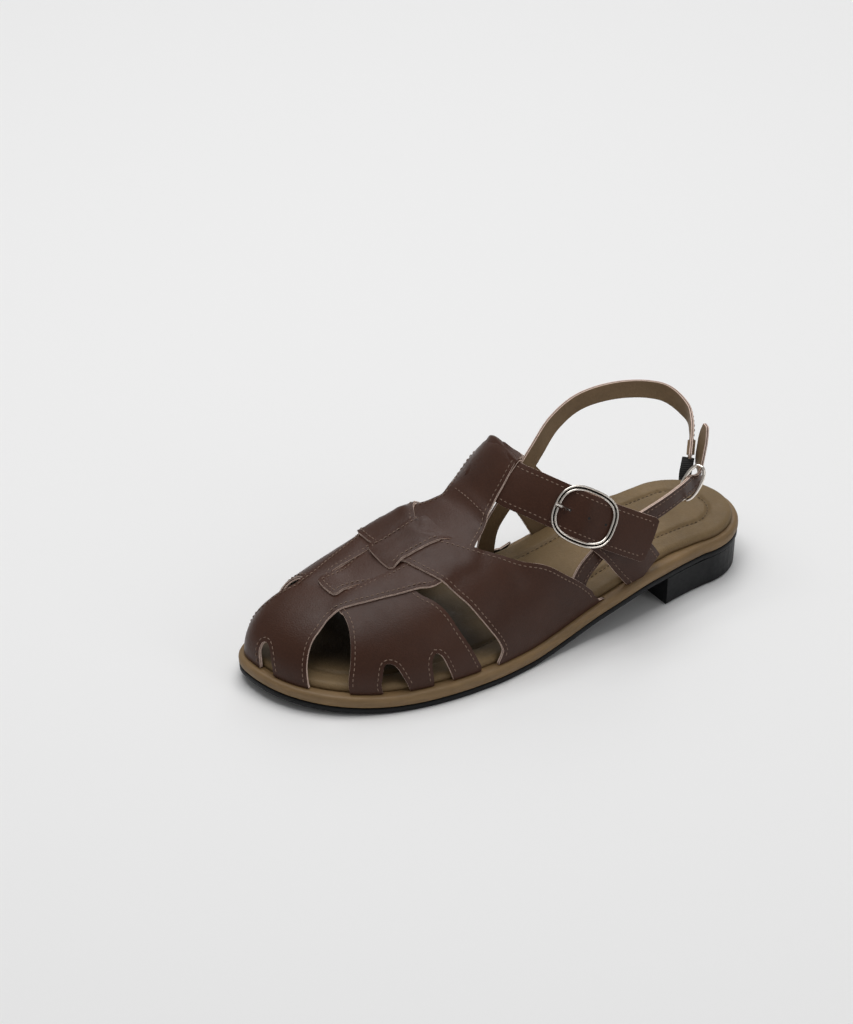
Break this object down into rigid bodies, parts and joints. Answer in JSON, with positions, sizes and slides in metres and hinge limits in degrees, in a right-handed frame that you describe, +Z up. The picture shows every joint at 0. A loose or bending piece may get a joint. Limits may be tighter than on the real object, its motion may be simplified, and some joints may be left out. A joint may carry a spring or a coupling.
{
  "type": "fisherman sandal",
  "caption": "Closed-toe fisherman sandal of woven leather straps, with a buckled instep strap, a slingback and a low block heel. Left shoe.",
  "frame": {"origin": "middle of the heel's floor contact, 27 mm in front of the back of the sole", "axes": "-Y towards the toe, +Y towards the back of the heel, +X towards the outer side, +Z up"},
  "size_m": [0.0917, 0.2494, 0.0843],
  "materials": {
    "black_rubber": "matt",
    "tan_band": "satin",
    "tan_lining": "satin",
    "brown_leather": "satin",
    "black_elastic": "matt",
    "silver_metal": "polished"
  },
  "bodies": {
    "root": {"outsole": "black_rubber", "heel": "black_rubber", "midsole": "tan_band", "insole": "tan_lining", "upper": "brown_leather", "instep_strap": "brown_leather", "buckle_strap": "brown_leather", "sling_strap_inner": "brown_leather", "sling_strap_outer": "brown_leather", "sling_elastic": "black_elastic", "instep_buckle_frame": "silver_metal", "instep_buckle_bar": "silver_metal", "instep_buckle_pin": "silver_metal", "sling_ring": "silver_metal", "sling_ring_prong": "silver_metal"}
  },
  "joints": []
}
